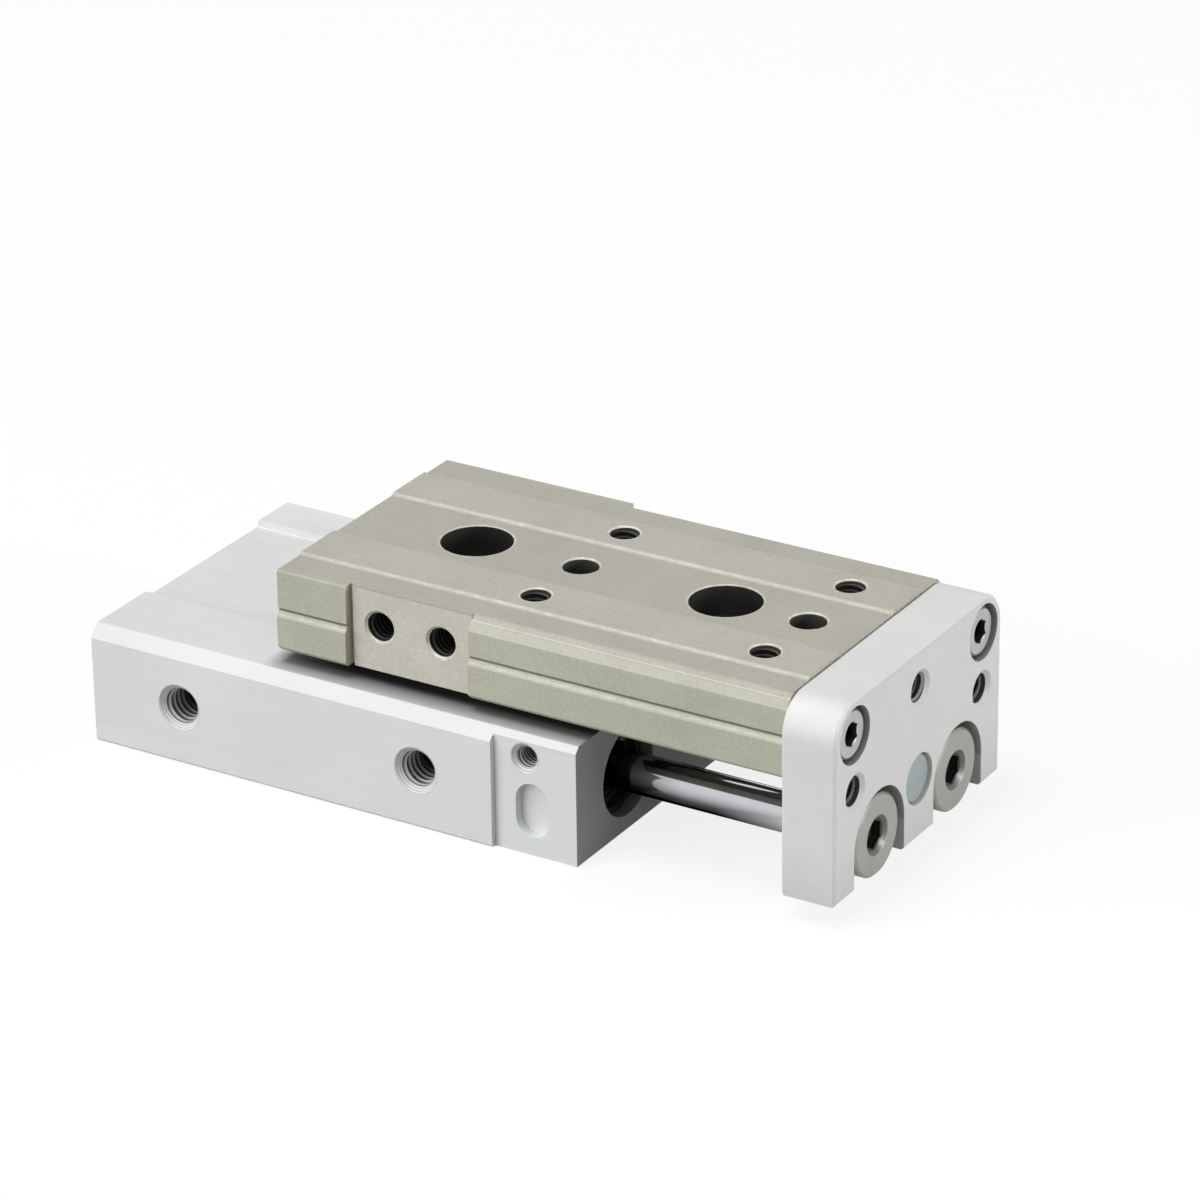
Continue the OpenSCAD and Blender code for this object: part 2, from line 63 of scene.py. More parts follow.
ROD_OFF_AXIS = (rod_low.y + rod_high.y) / 2
ROD_HEIGHT = (rod_low.z + rod_high.z) / 2
STUD_HEIGHT = (stud_low.z + stud_high.z) / 2
ROD_BOLT_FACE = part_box("rod_bolt_far")[1].x
SCREW_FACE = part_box("end_plate_screws")[1].x
SCREW_OFF_AXIS = 14.2 * MM      # the end plate's screws, from the middle
SCREW_HEIGHT = 20.9 * MM
STOP_FACE_Y = body_low.y + 0.7 * MM     # floor of the step milled beside the ports
PAD_STEP = 0.3 * MM             # middle band and ledges, below the load pads
ACCESS_X = (6.9 * MM, 38.1 * MM)        # the table's two large holes
ACCESS_R = 4.0 * MM
PIN_R = 2.0 * MM
ROD_SLOT_R = 5.45 * MM          # the end plate's open slots, round the rod bolts' heads
SCREW_SEAT_R = 3.2 * MM

# How far the shade of a hollow reaches: just past its edges
CYLINDER_R = 5.6 * MM           # mouths of the body's cylinders and their ring grooves
BOLT_CONE_R = 2.4 * MM          # hollow cone in a rod bolt's head
BOLT_HEX_R = 1.78 * MM          # corners of the hex socket in it
BOLT_HEX_DOWN = 0.35 * MM       # the socket's shade starts here, below the bolt's face
SCREW_HEX_R = 1.5 * MM          # corners of a plate screw's hex socket
SCREW_HEX_DOWN = 0.1 * MM       # and the start of its shade, below the screw's face

SIDES = (-1, 1)
ALONG_IN = Vector((-1, 0, 0))   # into the end plate
ACROSS_IN = Vector((0, 1, 0))   # into the near side
DOWN = Vector((0, 0, -1))       # into the table's load face


# ---------------------------------------------------------------- camera

CAMERA_AZIMUTH = 31.45      # degrees round from -Y towards +X
CAMERA_ELEVATION = 24.97    # degrees above the floor
CAMERA_ROLL = -0.75         # degrees
CAMERA_DISTANCE = 0.6125    # from the aim point
CAMERA_LENS = 165.3         # mm, on this sensor
CAMERA_SENSOR = 36
CAMERA_ASIDE = 0.01896      # aim point right of the frame's origin
CAMERA_ABOVE = 0.01473      # aim point above the frame's origin, in the view
CAMERA_CLIP = (0.01, 20)


def add_camera():
    """A long lens that looks at the near side, the load face and the end plate."""
    a, e, r = (math.radians(v) for v in (CAMERA_AZIMUTH, CAMERA_ELEVATION, CAMERA_ROLL))
    back = Vector((math.sin(a) * math.cos(e), -math.cos(a) * math.cos(e), math.sin(e)))
    level = Vector((math.cos(a), math.sin(a), 0))
    upright = back.cross(level)
    right = math.cos(r) * level + math.sin(r) * upright
    up = math.cos(r) * upright - math.sin(r) * level
    data = bpy.data.cameras.new("camera")
    data.lens = CAMERA_LENS
    data.sensor_width = CAMERA_SENSOR
    data.clip_start, data.clip_end = CAMERA_CLIP
    camera = bpy.data.objects.new("camera", data)
    place = Matrix((right, up, back)).transposed().to_4x4()
    place.translation = back * CAMERA_DISTANCE + right * CAMERA_ASIDE + up * CAMERA_ABOVE
    camera.matrix_world = place
    bpy.context.scene.collection.objects.link(camera)
    bpy.context.scene.camera = camera


# ---------------------------------------------------------------- node helpers

class Nodes:
    """Short ways to add shader nodes to one tree."""

    def __init__(self, tree):
        self.tree = tree

    def add(self, kind, inputs=None, **settings):
        """A node of this kind, with its settings and its inputs set or linked."""
        node = self.tree.nodes.new(kind)
        for key, value in settings.items():
            setattr(node, key, value)
        for key, value in (inputs or {}).items():
            self.put(node.inputs[key], value)
        return node

    def put(self, socket, value):
        """Links an output to this socket, or sets its value."""
        if isinstance(value, bpy.types.NodeSocket):
            self.tree.links.new(value, socket)
        else:
            socket.default_value = value

    def math(self, operation, a, b=0.0, clamp=False):
        """One Math node's result."""
        return self.add("ShaderNodeMath", {0: a, 1: b}, operation=operation,
                        use_clamp=clamp).outputs[0]

    def product(self, first, *others):
        """The product of two or more values."""
        for other in others:
            first = self.math("MULTIPLY", first, other)
        return first

    def weighted(self, *pairs):
        """The sum of values, each times its own weight."""
        total = None
        for value, weight in pairs:
            part = self.math("MULTIPLY", value, weight)
            total = part if total is None else self.math("ADD", total, part)
        return total

    def distance(self, value, place):
        """How far a value is from this place."""
        return self.math("ABSOLUTE", self.math("SUBTRACT", value, place))

    def within(self, value, middle, half_width):
        """1 where a value is within this half width of the middle, else 0."""
        return self.math("LESS_THAN", self.distance(value, middle), half_width)

    def above(self, value, limit):
        """1 where a value is more than this limit, else 0."""
        return self.math("GREATER_THAN", value, limit)

    def split(self, vector):
        """The X, Y and Z outputs of a vector."""
        return self.add("ShaderNodeSeparateXYZ", {0: vector}).outputs

    def vector(self, operation, a, b=(0, 0, 0), output=0):
        """One Vector Math node's result."""
        return self.add("ShaderNodeVectorMath", {0: a, 1: b},
                        operation=operation).outputs[output]

    def depth_and_radius(self, point, mouth, inward):
        """How far a point lies into a hole from its mouth, and how far off its axis,
        which runs inward along X, Y or Z."""
        off = self.vector("SUBTRACT", point, tuple(mouth))
        depth = self.vector("DOT_PRODUCT", off, tuple(inward), "Value")
        across = self.vector("MULTIPLY", off, tuple(1 - abs(v) for v in inward))
        return depth, self.vector("LENGTH", across, output="Value")

    def object_point(self, scale=(1, 1, 1)):
        """Object coordinates, scaled."""
        source = self.add("ShaderNodeTexCoord").outputs["Object"]
        return self.add("ShaderNodeMapping", {"Vector": source, "Scale": scale},
                        vector_type="POINT").outputs[0]

    def noise(self, vector, scale, detail=3.0, roughness=0.55):
        """Noise from 0 to 1 with its mean at one half."""
        return self.add("ShaderNodeTexNoise", {"Vector": vector, "Scale": scale,
                        "Detail": detail, "Roughness": roughness}).outputs["Fac"]

    def stretched_noise(self, scales, detail, roughness=0.55):
        """Noise with its own scale along X, Y and Z."""
        return self.noise(self.object_point(scales), 1.0, detail, roughness)

    def ramp(self, value, low, high, out_low=0.0, out_high=1.0):
        """Value from low..high carried to out_low..out_high, held at both ends."""
        return self.add("ShaderNodeMapRange", {"Value": value, "From Min": low,
                        "From Max": high, "To Min": out_low, "To Max": out_high},
                        clamp=True).outputs["Result"]

    def blend(self, factor, one, two):
        """Colour one at factor 0, colour two at factor 1."""
        node = self.add("ShaderNodeMix", data_type="RGBA")
        self.put(node.inputs[0], factor)
        self.put(node.inputs[6], one)
        self.put(node.inputs[7], two)
        return node.outputs[2]

    def mottle(self, value, low, high, colour, dark, light):
        """A colour from `dark` times itself where a value is low to `light` times
        itself where it is high."""
        return self.blend(self.ramp(value, low, high), rgba(colour, dark),
                          rgba(colour, light))

    def dim(self, colour, light):
        """A colour times a factor."""
        return self.add("ShaderNodeVectorMath", {0: colour, 3: light},
                        operation="SCALE").outputs[0]

    def dim_where(self, colour, share, tone):
        """A colour that is `tone` times itself where the share is 1."""
        return self.dim(colour, self.ramp(share, 0, 1, 1.0, tone))

    def bump(self, height, distance, strength, normal=None):
        """A normal bent by this height, which is 0 to 1 over the distance in metres."""
        inputs = {"Height": height, "Distance": distance, "Strength": strength}
        if normal is not None:
            inputs["Normal"] = normal
        return self.add("ShaderNodeBump", inputs).outputs[0]


def rgba(colour, factor=1.0):
    """A colour with alpha, made lighter or darker by a factor."""
    return tuple(min(1.0, c * factor) for c in colour) + (1.0,)


def start_material(name):
    """An empty node material with its Principled shader."""
    material = bpy.data.materials.new(name)
    material.use_nodes = True
    tree = material.node_tree
    tree.nodes.clear()
    nodes = Nodes(tree)
    shader = nodes.add("ShaderNodeBsdfPrincipled")
    nodes.add("ShaderNodeOutputMaterial", {"Surface": shader.outputs[0]})
    return material, nodes, shader


# ---------------------------------------------------------------- bores

THREAD_ROOT = 0.3           # light left in a thread's groove, of its crest's
THREAD_ROOT_AT = 0.3        # the groove begins this share of a crest in from the wall
BORE_MARGIN = 2e-5          # how far past its wall a bore's shade reaches
FINE_CREST = 0.16 * MM      # M3 threads stand this far in from the wall
PORT_CREST = 1.6 * FINE_CREST
COARSE_CREST = 0.22 * MM    # M4 threads

Bore = namedtuple("Bore", "mouth inward radius length shade crest", defaults=(0.0,))
Shade = namedtuple("Shade", "near far fade")     # light at the mouth, and deep in

THREAD_SHADE = Shade(0.5, 0.08, 2.5 * MM)
TOP_THREAD_SHADE = Shade(0.45, 0.06, 1.2 * MM)
SIDE_THREAD_SHADE = Shade(0.3, 0.04, 1.5 * MM)
PLATE_THREAD_SHADE = Shade(0.8, 0.12, 3.5 * MM)
PORT_SHADE = Shade(1.3, 0.25, 4.5 * MM)
STOP_SHADE = Shade(1.3, 0.2, 3.5 * MM)
ACCESS_SHADE = Shade(0.045, 0.03, 2 * MM)
PIN_SHADE = Shade(0.14, 0.09, 2 * MM)
ROD_SLOT_SHADE = Shade(0.8, 0.55, 2 * MM)
SCREW_SEAT_SHADE = Shade(0.55, 0.25, 1.2 * MM)
CYLINDER_SHADE = Shade(0.5, 0.15, 2.5 * MM)
BOLT_HEX_SHADE = Shade(0.4, 0.1, 0.8 * MM)
BOLT_CONE_SHADE = Shade(0.42, 0.26, 0.5 * MM)
SCREW_HEX_SHADE = Shade(0.4, 0.08, 0.8 * MM)


def bore_light(n, point, bores):
    """Painted shade in the bores, as a factor on a bored part's colour: 1 on its faces, and
    in a bore the shade's `near` at the mouth, falling to `far` over the depth `fade`; where
    `near` is above 1 it is painted light at the mouth. Where a bore has a thread, whose
    crests stand `crest` in from its wall, the wall between them is painted darker still."""
    total = None
    for bore in bores:
        depth, radial = n.depth_and_radius(point, bore.mouth, bore.inward)
        light = n.ramp(depth, 0, bore.shade.fade, bore.shade.near, bore.shade.far)
        if bore.crest:
            groove = n.ramp(radial, bore.radius - bore.crest,
                            bore.radius - THREAD_ROOT_AT * bore.crest, 1.0, THREAD_ROOT)
            light = n.product(light, groove)
        inside = n.product(n.math("LESS_THAN", radial, bore.radius + BORE_MARGIN),
                           n.above(depth, BORE_MARGIN),
                           n.math("LESS_THAN", depth, bore.length))
        gone = n.product(inside, n.math("SUBTRACT", 1.0, light))
        kept = n.math("SUBTRACT", 1.0, gone)
        total = kept if total is None else n.product(total, kept)
    return total


def holes_of(mount):
    """Centres of a pattern's holes: half the spacings to each side of its middle,
    along the first and second axes square to its own."""
    dims, middle = mount["dims"], Vector(mount["pos_m"])
    axes = [Vector(v) for v in ((1, 0, 0), (0, 1, 0), (0, 0, 1))
            if abs(Vector(v).dot(Vector(mount["axis"]))) < 0.5]
    first = axes[0] * dims["spacing_x_mm"] * MM / 2
    second = axes[1] * dims.get("spacing_y_mm", 0) * MM / 2
    if dims["count"] == 2:
        return [middle - first, middle + first]
    return [middle + a * first + b * second for a in SIDES for b in SIDES]


def single_hole(mount_name):
    """Mouth, way in, radius and length of the wall of a threaded_hole mount."""
    mount = mounts[mount_name]
    outward, length = Vector(mount["axis"]), mount["dims"]["length_mm"] * MM
    mouth = Vector(mount["pos_m"]) + outward * length / 2
    return mouth, -outward, mount["dims"]["r_mm"] * MM, length


def pattern_bores(mount_name, length, crest, shade):
    """The bores of a bolt_pattern mount."""
    mount = mounts[mount_name]
    inward = -Vector(mount["axis"])
    radius = mount["dims"]["hole_r_mm"] * MM
    return [Bore(hole, inward, radius, length * MM, shade, crest)
            for hole in holes_of(mount)]


def single_bore(mount_name, crest, shade):
    """The bore of a threaded_hole mount, with 1 mm past its thread."""
    mouth, inward, radius, length = single_hole(mount_name)
    return Bore(mouth, inward, radius, length + MM, shade, crest)


def paired_bores(face_x, off_axis, height, radius, length, shade):
    """Two bores along X from a face, to both sides of the middle."""
    return [Bore(Vector((face_x, side * off_axis, height)), ALONG_IN, radius,
                 length * MM, shade) for side in SIDES]


band_z = table_high.z - PAD_STEP
table_bores = (
    [Bore(Vector((x, 0, band_z)), DOWN, ACCESS_R, 5 * MM, ACCESS_SHADE) for x in ACCESS_X]
    + [Bore(Vector((*mounts[name]["pos_m"][:2], band_z)), DOWN, PIN_R, 5 * MM, PIN_SHADE)
       for name in ("table_pin_rear", "table_pin_front")]
    + pattern_bores("table_threads", 4, COARSE_CREST, TOP_THREAD_SHADE)
    + pattern_bores("side_threads", 4.6, COARSE_CREST, SIDE_THREAD_SHADE))
plate_bores = (
    pattern_bores("plate_threads", 5, COARSE_CREST, THREAD_SHADE)
    + [single_bore("plate_top_thread", COARSE_CREST, PLATE_THREAD_SHADE)]
    + paired_bores(plate_high.x, ROD_OFF_AXIS, ROD_HEIGHT, ROD_SLOT_R, 3, ROD_SLOT_SHADE)
    + paired_bores(plate_high.x, SCREW_OFF_AXIS, SCREW_HEIGHT, SCREW_SEAT_R, 3.5,
                   SCREW_SEAT_SHADE))
body_bores = (
    [single_bore("port_rear", PORT_CREST, PORT_SHADE),
     single_bore("port_front", PORT_CREST, PORT_SHADE),
     single_bore("stop_thread", FINE_CREST, STOP_SHADE)]
    + pattern_bores("base_threads", 5.5, FINE_CREST, THREAD_SHADE)
    + paired_bores(body_high.x, ROD_OFF_AXIS, ROD_HEIGHT, CYLINDER_R, 25, CYLINDER_SHADE))
bolt_sockets = (
    paired_bores(ROD_BOLT_FACE - BOLT_HEX_DOWN, ROD_OFF_AXIS, ROD_HEIGHT, BOLT_HEX_R, 2,
                 BOLT_HEX_SHADE)
    + paired_bores(ROD_BOLT_FACE, ROD_OFF_AXIS, ROD_HEIGHT, BOLT_CONE_R, 0.9,
                   BOLT_CONE_SHADE))
screw_sockets = paired_bores(SCREW_FACE - SCREW_HEX_DOWN, SCREW_OFF_AXIS, SCREW_HEIGHT,
                             SCREW_HEX_R, 2, SCREW_HEX_SHADE)

# Where a tool countersank the body: mouth on the face, depth of the cone
COUNTERSINKS = (("port_rear", body_low.y, 0.6 * MM), ("port_front", body_low.y, 0.6 * MM),
                ("stop_thread", STOP_FACE_Y, 0.5 * MM))


# ---------------------------------------------------------------- the body's faces

FACE_MARGIN = 0.05 * MM     # points this near a flat face are on it
END_FACE_SHADE_TONE = 0.74        # ends of the body, against its sides: their duller milled finish plus painted shade from the end plate
UNDER_TABLE_SHADOW_X = (-9.6 * MM, -7.4 * MM)     # where the painted shadow under the slide table begins along the body
UNDER_TABLE_SHADOW_Y = (15.2 * MM, 18.6 * MM)     # the painted shadow fades outward between these
UNDER_TABLE_SHADOW_LEFT = 0.3             # share of the painted shadow left at the top's outer edge
UNDER_TABLE_SHADOW_TONE = 0.035
SLOPE_Y = 12.55 * MM        # far wall of the channel in the body's top
SLOPE_HALF = (0.25 * MM, 0.28 * MM)     # half its reach across and up
SLOPE_MIDDLE = 0.3 * MM     # its middle, below the top
# painted shade on the channel's sloped far wall
SLOPE_SHADE_TONE = 0.85
CHAMFER_MIDDLE = 0.7 * MM   # chamfer's middle, in from the side
CHAMFER_HALF = 0.69 * MM
CHAMFER_DOWN = 1.38 * MM
# painted shade that tones down the chamfers' light
CHAMFER_SHADE_TONE = 0.955
CUTTER_PITCH = 0.24 * MM    # rings a countersinking tool leaves in the body
CUTTER_TONE = 0.66          # the darkest of a ring
CUTTER_MARGIN = 0.06 * MM


def dress_body(n, point, tint):
    """The body's faces: its ends are a darker grey than the drawn sides, partly from their
    duller milled finish and partly as painted shade from the end plate. A painted shadow
    darkens its top under the edges of the slide table, fading outward, and the channel's far
    wall and the chamfers along its top get a little painted shade. The countersinks of its
    ports and of the stop's thread keep the rings of the tool that cut them: along the radius
    their tone is a sine wave."""
    along, across, up = n.split(point)
    out = n.math("ABSOLUTE", across)
    top = body_high.z
    # the ends: duller milled finish plus painted shade
    end_face = n.above(n.math("ABSOLUTE", along), body_high.x - FACE_MARGIN)
    # painted shadow on the top, under the slide table's edges
    under_table_shadow = n.product(n.ramp(out, *UNDER_TABLE_SHADOW_Y, 1.0, UNDER_TABLE_SHADOW_LEFT), n.ramp(along, *UNDER_TABLE_SHADOW_X),
                     n.above(up, top - FACE_MARGIN))
    # painted shade on the channel's sloped far wall
    slope = n.product(n.within(out, SLOPE_Y, SLOPE_HALF[0]),
                      n.within(up, top - SLOPE_MIDDLE, SLOPE_HALF[1]))
    # painted shade that tones down the chamfers' light
    chamfer = n.product(n.within(out, body_high.y - CHAMFER_MIDDLE, CHAMFER_HALF),
                        n.above(up, top - CHAMFER_DOWN),
                        n.math("SUBTRACT", 1.0, end_face))
    for share, tone in ((end_face, END_FACE_SHADE_TONE), (under_table_shadow, UNDER_TABLE_SHADOW_TONE),
                        (slope, SLOPE_SHADE_TONE), (chamfer, CHAMFER_SHADE_TONE)):
        tint = n.dim_where(tint, share, tone)
    for name, face_y, sink in COUNTERSINKS:
        x, _, z = mounts[name]["pos_m"]
        wall = mounts[name]["dims"]["r_mm"] * MM
        depth, radial = n.depth_and_radius(point, (x, face_y, z), ACROSS_IN)
        cone = n.product(n.within(radial, wall + sink / 2, sink / 2 + CUTTER_MARGIN),
                         n.within(depth, 0, sink))
        turns = n.math("SUBTRACT", radial, wall + sink)
        wave = n.math("SINE", n.math("MULTIPLY", turns, 2 * math.pi / CUTTER_PITCH))
        dark = n.product(cone, n.ramp(wave, -1, 1, 0, 1 - CUTTER_TONE))
        tint = n.dim(tint, n.math("SUBTRACT", 1.0, dark))
    return tint


# ---------------------------------------------------------------- the end plate's faces

# Painted shade on the end plate's top and lower end
PLATE_TOP_SHADE_TONE = 0.94
PLATE_TOP_DOWN = (0.8 * MM, 0.1 * MM)   # the top's painted shade comes in between these
PLATE_FOOT_SHADE_TONE = 0.88      # lower end, painted shade near the floor
PLATE_FOOT = 7 * MM         # height over which the painted shade fades out


def dress_plate(n, point, tint):
    """The end plate is painted a little darker along its lower end and on its top, as shade.
    """
    height = n.split(point)[2]
    near_top = [plate_high.z - down for down in PLATE_TOP_DOWN]
    tint = n.dim(tint, n.ramp(height, *near_top, 1.0, PLATE_TOP_SHADE_TONE))
    return n.dim(tint, n.ramp(height, plate_low.z, plate_low.z + PLATE_FOOT,
                              PLATE_FOOT_SHADE_TONE, 1.0))


# ---------------------------------------------------------------- the table's faces

TOP_FACE_Z = 24.8 * MM      # the slide table's load face is above this
SIDE_FACE_Y = 16.5 * MM     # and its sides lie further out than this
SIDE_TINT = (1.045, 1.075, 1.0)     # the sides' colour, against the top's
PAD_MIDDLE_Y = 9.1 * MM     # a load pad's middle line
PAD_HALF_WIDTH = 3.4 * MM
BAND_TONE = 0.92            # middle band and ledges, against the pads
SEAM_Z = 19.8 * MM          # middle of the sloped seam along each side
NOTCH_Z = 20.33 * MM        # the notch above the seam
NOTCH_HALF = 0.17 * MM
# painted shade in the notch above the seam
NOTCH_SHADE_TONE = 0.6
GROOVE_X = 1.22 * MM        # relief groove at the rear end of the milled pocket
GROOVE_Y = -17 * MM
GROOVE_HALF = (0.3 * MM, 1.5 * MM)  # half its reach along and across
# painted light that lifts the groove's own shade
GROOVE_LIGHT_TONE = 1.15
POCKET_Y = -16.35 * MM      # face of the milled pocket
POCKET_HALF = 0.04 * MM     # points this near the face are on it
POCKET_TONE = 1.28
RAG_SCALES = (900, 1500, 1500)      # noise that makes lightened edges ragged
RAG_ROUGHNESS = 0.65
EDGE_WEAR_AND_HIGHLIGHT_TONE = 1.32            # lightened edges, against the faces beside them: partly wear, partly painted highlight
EDGE_HALF = 0.5 * MM
LIGHTEN_START, LIGHTEN_FULL = 1.15, 1.6   # nearness plus noise, where the lightening shows
LIGHTEN_SHARE = 0.85
RIM_HIGHLIGHT_TONE = 1.75             # painted highlight on the rims of the table's holes
RIM_OUT = 0.12 * MM         # a rim's middle, out from the bore's wall
RIM_HALF = 0.4 * MM


def lighten_edges(n, tint, places, rag, tone):
    """A colour lightened to `tone` times itself near edges, as wear and painted highlight:
    where the nearness, 1 on an edge and 0 at its half width, plus ragged noise passes a start
    value. Each place is the distance from an edge, its half width and where it holds."""
    lightened = 0.0
    for gap, half_width, where in places:
        near = n.math("ADD", n.ramp(gap, 0, half_width, 1.0, 0.0), rag)
        shown = n.product(n.ramp(near, LIGHTEN_START, LIGHTEN_FULL), where)
        lightened = n.math("MAXIMUM", lightened, shown)
    return n.blend(n.math("MULTIPLY", lightened, LIGHTEN_SHARE), tint, n.dim(tint, tone))


def dress_table(n, point, tint):
    """The slide table's faces: the middle band and the ledges are darker than the ground pads
    between them, the sides yellower, and the milled pocket on the near side lighter. The
    seam's notch is painted dark as shade, and the relief groove painted lighter against its
    own shade. The pads' edges and the seam along each side are lightened, ragged by noise,
    partly as wear and partly as painted highlight; the rims of the holes get a stronger
    painted highlight."""
    along, across, up = n.split(point)
    out = n.math("ABSOLUTE", across)
    on_top = n.above(up, TOP_FACE_Z)
    on_side = n.above(out, SIDE_FACE_Y)
    from_pad = n.distance(out, PAD_MIDDLE_Y)
    off_pad = n.product(n.above(from_pad, PAD_HALF_WIDTH), on_top)
    notch = n.product(n.within(up, NOTCH_Z, NOTCH_HALF), on_side)
    groove = n.product(n.within(along, GROOVE_X, GROOVE_HALF[0]),
                       n.within(across, GROOVE_Y, GROOVE_HALF[1]))
    pocket = n.product(n.within(across, POCKET_Y, POCKET_HALF),
                       n.math("LESS_THAN", up, TOP_FACE_Z))
    for share, tone in ((off_pad, BAND_TONE), (notch, NOTCH_SHADE_TONE),
                        (groove, GROOVE_LIGHT_TONE), (pocket, POCKET_TONE)):
        tint = n.dim_where(tint, share, tone)
    tint = n.blend(on_side, tint, n.vector("MULTIPLY", tint, SIDE_TINT))
    rag = n.stretched_noise(RAG_SCALES, 3.0, RAG_ROUGHNESS)
    # pad edges and seam: partly wear, partly painted highlight
    edges = [(n.distance(from_pad, PAD_HALF_WIDTH), EDGE_HALF, on_top),
             (n.distance(up, SEAM_Z), EDGE_HALF, on_side)]
    # painted highlight round the rims of the holes
    rims = []
    for bore in table_bores:
        depth, radial = n.depth_and_radius(point, bore.mouth, bore.inward)
        rims.append((n.distance(radial, bore.radius + RIM_OUT), RIM_HALF,
                     n.within(depth, 0, RIM_HALF)))
    tint = lighten_edges(n, tint, edges, rag, EDGE_WEAR_AND_HIGHLIGHT_TONE)
    return lighten_edges(n, tint, rims, rag, RIM_HIGHLIGHT_TONE)


# ---------------------------------------------------------------- finishes

MIDDLE_NOISE = (0.3, 0.7)   # most of a noise lies between these
BAR_LINES = (12, 700, 700)  # noise scales along X, Y and Z, for a bar drawn along X
PLATE_GRAIN = (500, 500, 500)
SCRATCHES = (160, 5200, 5200)
POLISH_LINES = (7000, 300, 300)
ROD_REFLECTION_TONE = 0.16             # painted dark reflection under the rods
ROD_REFLECTION_Z = (ROD_HEIGHT - 0.5 * MM, ROD_HEIGHT + 0.9 * MM)  # it fades upward between these
ROD_REFLECTION_START_X = (33 * MM, 39 * MM)    # all round the rods near the covers
ROD_REFLECTION_START_TONE = 0.38
ROD_REFLECTION_END_X = (43 * MM, 51 * MM)      # where it thins out
ROD_REFLECTION_END_TONE = 0.7


def blasted_aluminium(name, colour, bores, lines, dress):
    """Clear anodised, bead-blasted aluminium: fine even grain and faint
    cloudiness, with the faint lines of the bar or plate it was cut from.
    `dress` gives it the tones of one piece's own faces."""
    material, n, shader = start_material(name)
    point = n.object_point()
    cloud = n.noise(point, scale=90, detail=2.0)
    grain = n.noise(point, scale=5200, detail=2.0)
    drawn = n.stretched_noise(lines, detail=2.0)
    tint = n.mottle(n.weighted((cloud, 0.6), (drawn, 0.4)), *MIDDLE_NOISE, colour,
                    dark=0.955, light=1.03)
    tint = dress(n, point, tint)
    n.put(shader.inputs["Base Color"], n.dim(tint, bore_light(n, point, bores)))
    shader.inputs["Metallic"].default_value = 0.08
    n.put(shader.inputs["Roughness"], n.ramp(grain, 0.25, 0.75, 0.52, 0.66))
    fine = n.bump(grain, distance=6e-6, strength=0.6)
    n.put(shader.inputs["Normal"], n.bump(drawn, 3e-6, 0.3, fine))
    return material


def ground_steel(name, colour, bores=(), dress=None):
    """Stainless steel with a dull ground face: short scratches along X, blotchy
    tone from handling and a slightly pitted grain. `dress` gives it the tones
    of one piece's own faces."""
    material, n, shader = start_material(name)
    point = n.object_point()
    blotch = n.noise(point, scale=130, detail=4.0, roughness=0.6)
    scratch = n.stretched_noise(SCRATCHES, detail=3.0)
    pits = n.noise(point, scale=2600, detail=3.0, roughness=0.6)
    tint = n.mottle(n.weighted((blotch, 0.3), (scratch, 0.25), (pits, 0.45)), 0.34, 0.66,
                    colour, dark=0.86, light=1.12)
    if dress:
        tint = dress(n, point, tint)
    if bores:
        tint = n.dim(tint, bore_light(n, point, bores))
    n.put(shader.inputs["Base Color"], tint)
    shader.inputs["Metallic"].default_value = 0.25
    shader.inputs["Specular IOR Level"].default_value = 0.35
    n.put(shader.inputs["Roughness"], n.ramp(scratch, *MIDDLE_NOISE, 0.5, 0.66))
    fine = n.bump(pits, distance=9e-6, strength=0.6)
    n.put(shader.inputs["Normal"], n.bump(scratch, 5e-6, 0.5, fine))
    return material


def chromed(name, colour, roughness=0.07, dark_reflection=False):
    """Hard chrome: a mirror with hair-thin polishing lines round it. With a painted dark
    reflection, the rod's underside is painted dark, fading out upward; this also thins out
    towards the end plate, and close to the rod cover it darkens the whole rod a little."""
    material, n, shader = start_material(name)
    lines = n.stretched_noise(POLISH_LINES, detail=2.0)
    haze = n.noise(n.object_point(), scale=260, detail=2.0)
    tint = n.mottle(haze, *MIDDLE_NOISE, colour, dark=0.96, light=1.0)
    if dark_reflection:
        # painted dark reflection, on the colour and on the specular tint
        along, _, height = n.split(n.object_point())
        reflection_dim = n.math("MAXIMUM", n.ramp(height, *ROD_REFLECTION_Z, ROD_REFLECTION_TONE, 1.0),
                       n.ramp(along, *ROD_REFLECTION_END_X, ROD_REFLECTION_TONE, ROD_REFLECTION_END_TONE))
        reflection_dim = n.product(reflection_dim, n.ramp(along, *ROD_REFLECTION_START_X, ROD_REFLECTION_START_TONE, 1.0))
        tint = n.dim(tint, reflection_dim)
        n.put(shader.inputs["Specular Tint"], n.dim((1, 1, 1), reflection_dim))
    n.put(shader.inputs["Base Color"], tint)
    shader.inputs["Metallic"].default_value = 1.0
    n.put(shader.inputs["Roughness"],
          n.ramp(lines, *MIDDLE_NOISE, roughness * 0.6, roughness * 1.5))
    n.put(shader.inputs["Normal"], n.bump(lines, distance=1.2e-6, strength=0.3))
    return material


